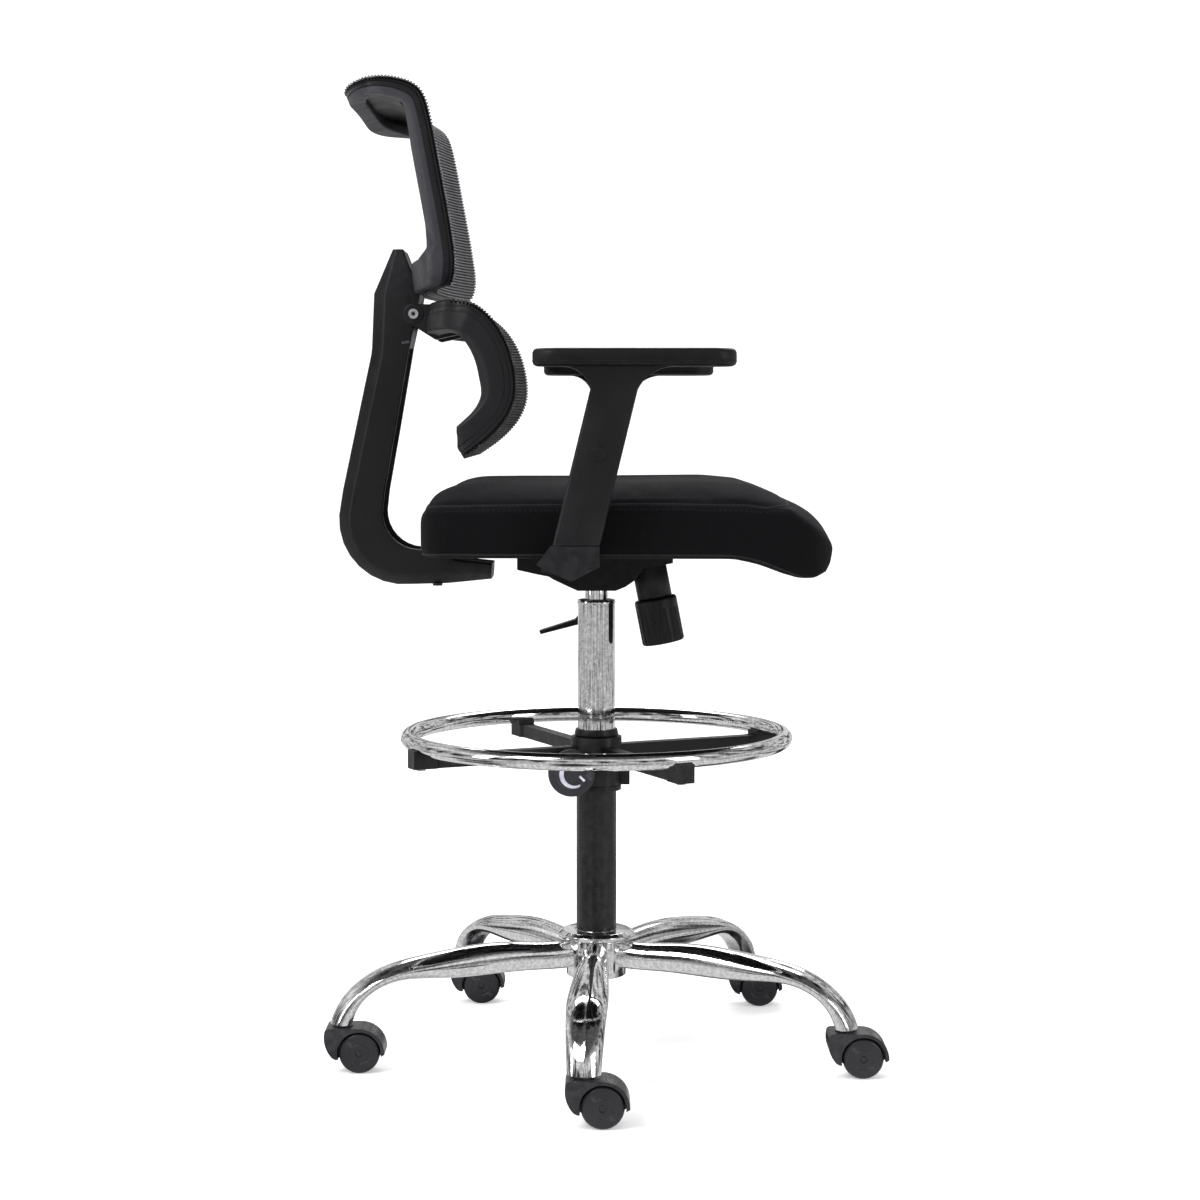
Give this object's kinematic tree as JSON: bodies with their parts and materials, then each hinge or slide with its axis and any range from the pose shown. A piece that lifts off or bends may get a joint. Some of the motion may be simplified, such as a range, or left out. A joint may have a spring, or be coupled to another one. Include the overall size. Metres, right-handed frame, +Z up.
{
  "type": "drafting chair",
  "caption": "Tall drafting chair with a mesh back, lumbar loop, cushioned seat, height-adjustable arms, foot ring and a chrome star base on casters.",
  "frame": {"origin": "on the floor at the column's swivel axis", "axes": "+X towards the seat's front edge, +Y towards the sitter's left, +Z up"},
  "size_m": [0.6855, 0.6647, 1.2004],
  "materials": {
    "chrome": "bright plated steel",
    "steel": "zinc plated",
    "black_plastic": "fine grained",
    "grey_plastic": "satin",
    "caster_plastic": "semi gloss",
    "wheel_plastic": "satin",
    "black_metal": "black powder coat",
    "pan_board": "black covered board",
    "seat_fabric": "woven",
    "mesh_fabric": "knitted mesh",
    "pad_rubber": "soft moulded foam skin"
  },
  "bodies": {
    "base": {"base_hub": "chrome", "base_leg_1": "chrome", "base_leg_2": "chrome", "base_leg_3": "chrome", "base_leg_4": "chrome", "base_leg_5": "chrome", "caster_stems": "steel", "column_tube": "chrome", "column_sleeve": "black_plastic", "column_bushing": "black_plastic", "thrust_bearing": "steel"},
    "lift_rod": {"piston_rod": "steel", "rod_clip": "steel"},
    "mechanism": {"gas_cylinder": "chrome", "mechanism_housing": "black_metal", "tilt_pin": "steel", "spring_cover": "black_plastic", "tension_spring": "steel"},
    "release_pin": {"release_pin": "steel"},
    "tension_knob": {"tension_knob": "black_plastic"},
    "height_lever": {"height_lever": "black_metal"},
    "seat": {"seat_plate": "black_metal", "seat_pan": "pan_board", "seat_cushion": "seat_fabric", "seat_screws": "steel", "spine": "black_plastic", "back_frame": "grey_plastic", "back_trim": "black_plastic", "back_mesh": "mesh_fabric", "lumbar_bolt": "steel", "arm_bracket_right": "black_plastic", "arm_bracket_left": "black_plastic"},
    "lumbar": {"lumbar_frame": "black_plastic", "lumbar_mesh": "mesh_fabric"},
    "arm_right": {"arm_sleeve_right": "black_plastic", "arm_pad_right": "pad_rubber"},
    "arm_left": {"arm_sleeve_left": "black_plastic", "arm_pad_left": "pad_rubber"},
    "arm_button_right": {"arm_button_right": "black_plastic"},
    "arm_button_left": {"arm_button_left": "black_plastic"},
    "ring_bushing": {"ring_bushing": "black_plastic"},
    "foot_ring": {"foot_ring": "chrome", "ring_spider": "black_plastic", "ring_screws": "steel"},
    "ring_knob": {"ring_knob": "grey_plastic"},
    "caster_1": {"caster_housing_1": "caster_plastic"},
    "wheel_left_1": {"caster_wheel_left_1": "wheel_plastic"},
    "wheel_right_1": {"caster_wheel_right_1": "wheel_plastic"},
    "caster_2": {"caster_housing_2": "caster_plastic"},
    "wheel_left_2": {"caster_wheel_left_2": "wheel_plastic"},
    "wheel_right_2": {"caster_wheel_right_2": "wheel_plastic"},
    "caster_3": {"caster_housing_3": "caster_plastic"},
    "wheel_left_3": {"caster_wheel_left_3": "wheel_plastic"},
    "wheel_right_3": {"caster_wheel_right_3": "wheel_plastic"},
    "caster_4": {"caster_housing_4": "caster_plastic"},
    "wheel_left_4": {"caster_wheel_left_4": "wheel_plastic"},
    "wheel_right_4": {"caster_wheel_right_4": "wheel_plastic"},
    "caster_5": {"caster_housing_5": "caster_plastic"},
    "wheel_left_5": {"caster_wheel_left_5": "wheel_plastic"},
    "wheel_right_5": {"caster_wheel_right_5": "wheel_plastic"}
  },
  "joints": [
    {"name": "seat_swivel", "type": "hinge", "parent": "base", "child": "lift_rod", "pos_m": [0, 0, 0.3], "axis": [0, 0, 1], "continuous": true},
    {"name": "seat_height", "type": "slide", "parent": "lift_rod", "child": "mechanism", "axis": [0, 0, 1], "range_m": [0, 0.2]},
    {"name": "valve_press", "type": "slide", "parent": "mechanism", "child": "release_pin", "axis": [0, 0, -1], "range_m": [0, 0.0037]},
    {"name": "lever_lift", "type": "hinge", "parent": "mechanism", "child": "height_lever", "pos_m": [0, 0.042, 0.6155], "axis": [1, 0, 0], "range_deg": [0, 5], "stiffness_Nm_per_rad": 2, "springref_deg": -11.46},
    {"name": "tension_turn", "type": "hinge", "parent": "mechanism", "child": "tension_knob", "pos_m": [0.073, 0, 0.5745], "axis": [0.1908, 0, -0.9816], "range_deg": [-720, 720]},
    {"name": "seat_tilt", "type": "hinge", "parent": "mechanism", "child": "seat", "pos_m": [-0.045, 0, 0.614], "axis": [0, -1, 0], "range_deg": [0, 15], "stiffness_Nm_per_rad": 100, "springref_deg": -8.59},
    {"name": "lumbar_flex", "type": "hinge", "parent": "seat", "child": "lumbar", "pos_m": [-0.221, 0, 0.923], "axis": [0, 1, 0], "range_deg": [0, 10], "stiffness_Nm_per_rad": 12, "springref_deg": -14.32},
    {"name": "arm_height_right", "type": "slide", "parent": "seat", "child": "arm_right", "axis": [0.2368, 0, 0.9715], "range_m": [0, 0.07]},
    {"name": "arm_button_press_right", "type": "slide", "parent": "arm_right", "child": "arm_button_right", "axis": [0, 1, 0], "range_m": [0, 0.003], "stiffness_N_per_m": 300, "springref_m": -0.003},
    {"name": "arm_height_left", "type": "slide", "parent": "seat", "child": "arm_left", "axis": [0.2368, 0, 0.9715], "range_m": [0, 0.07]},
    {"name": "arm_button_press_left", "type": "slide", "parent": "arm_left", "child": "arm_button_left", "axis": [0, -1, 0], "range_m": [0, 0.003], "stiffness_N_per_m": 300, "springref_m": -0.003},
    {"name": "ring_height", "type": "slide", "parent": "base", "child": "ring_bushing", "axis": [0, 0, 1], "range_m": [0, 0.09]},
    {"name": "ring_turn", "type": "hinge", "parent": "ring_bushing", "child": "foot_ring", "pos_m": [0, 0, 0.38], "axis": [0, 0, 1], "continuous": true},
    {"name": "ring_clamp_turn", "type": "hinge", "parent": "foot_ring", "child": "ring_knob", "pos_m": [-0.0305, 0, 0.361], "axis": [0, -1, 0], "range_deg": [0, 90]},
    {"name": "caster_swivel_1", "type": "hinge", "parent": "base", "child": "caster_1", "pos_m": [-0.01348, -0.32172, 0.05], "axis": [0, 0, 1], "continuous": true},
    {"name": "wheel_roll_left_1", "type": "hinge", "parent": "caster_1", "child": "wheel_left_1", "pos_m": [0.00752, -0.32172, 0.025], "axis": [0, 1, 0], "continuous": true},
    {"name": "wheel_roll_right_1", "type": "hinge", "parent": "caster_1", "child": "wheel_right_1", "pos_m": [0.00752, -0.32172, 0.025], "axis": [0, 1, 0], "continuous": true},
    {"name": "caster_swivel_2", "type": "hinge", "parent": "base", "child": "caster_2", "pos_m": [0.3018, -0.11224, 0.05], "axis": [0, 0, 1], "continuous": true},
    {"name": "wheel_roll_left_2", "type": "hinge", "parent": "caster_2", "child": "wheel_left_2", "pos_m": [0.32281, -0.11224, 0.025], "axis": [0, 1, 0], "continuous": true},
    {"name": "wheel_roll_right_2", "type": "hinge", "parent": "caster_2", "child": "wheel_right_2", "pos_m": [0.32281, -0.11224, 0.025], "axis": [0, 1, 0], "continuous": true},
    {"name": "caster_swivel_3", "type": "hinge", "parent": "base", "child": "caster_3", "pos_m": [0.20001, 0.25235, 0.05], "axis": [0, 0, 1], "continuous": true},
    {"name": "wheel_roll_left_3", "type": "hinge", "parent": "caster_3", "child": "wheel_left_3", "pos_m": [0.22101, 0.25235, 0.025], "axis": [0, 1, 0], "continuous": true},
    {"name": "wheel_roll_right_3", "type": "hinge", "parent": "caster_3", "child": "wheel_right_3", "pos_m": [0.22101, 0.25235, 0.025], "axis": [0, 1, 0], "continuous": true},
    {"name": "caster_swivel_4", "type": "hinge", "parent": "base", "child": "caster_4", "pos_m": [-0.17819, 0.2682, 0.05], "axis": [0, 0, 1], "continuous": true},
    {"name": "wheel_roll_left_4", "type": "hinge", "parent": "caster_4", "child": "wheel_left_4", "pos_m": [-0.15719, 0.2682, 0.025], "axis": [0, 1, 0], "continuous": true},
    {"name": "wheel_roll_right_4", "type": "hinge", "parent": "caster_4", "child": "wheel_right_4", "pos_m": [-0.15719, 0.2682, 0.025], "axis": [0, 1, 0], "continuous": true},
    {"name": "caster_swivel_5", "type": "hinge", "parent": "base", "child": "caster_5", "pos_m": [-0.31014, -0.08659, 0.05], "axis": [0, 0, 1], "continuous": true},
    {"name": "wheel_roll_left_5", "type": "hinge", "parent": "caster_5", "child": "wheel_left_5", "pos_m": [-0.28914, -0.08659, 0.025], "axis": [0, 1, 0], "continuous": true},
    {"name": "wheel_roll_right_5", "type": "hinge", "parent": "caster_5", "child": "wheel_right_5", "pos_m": [-0.28914, -0.08659, 0.025], "axis": [0, 1, 0], "continuous": true}
  ],
  "couplings": [
    {"joint": "valve_press", "follows": "lever_lift", "m_per_rad": 0.042}
  ]
}
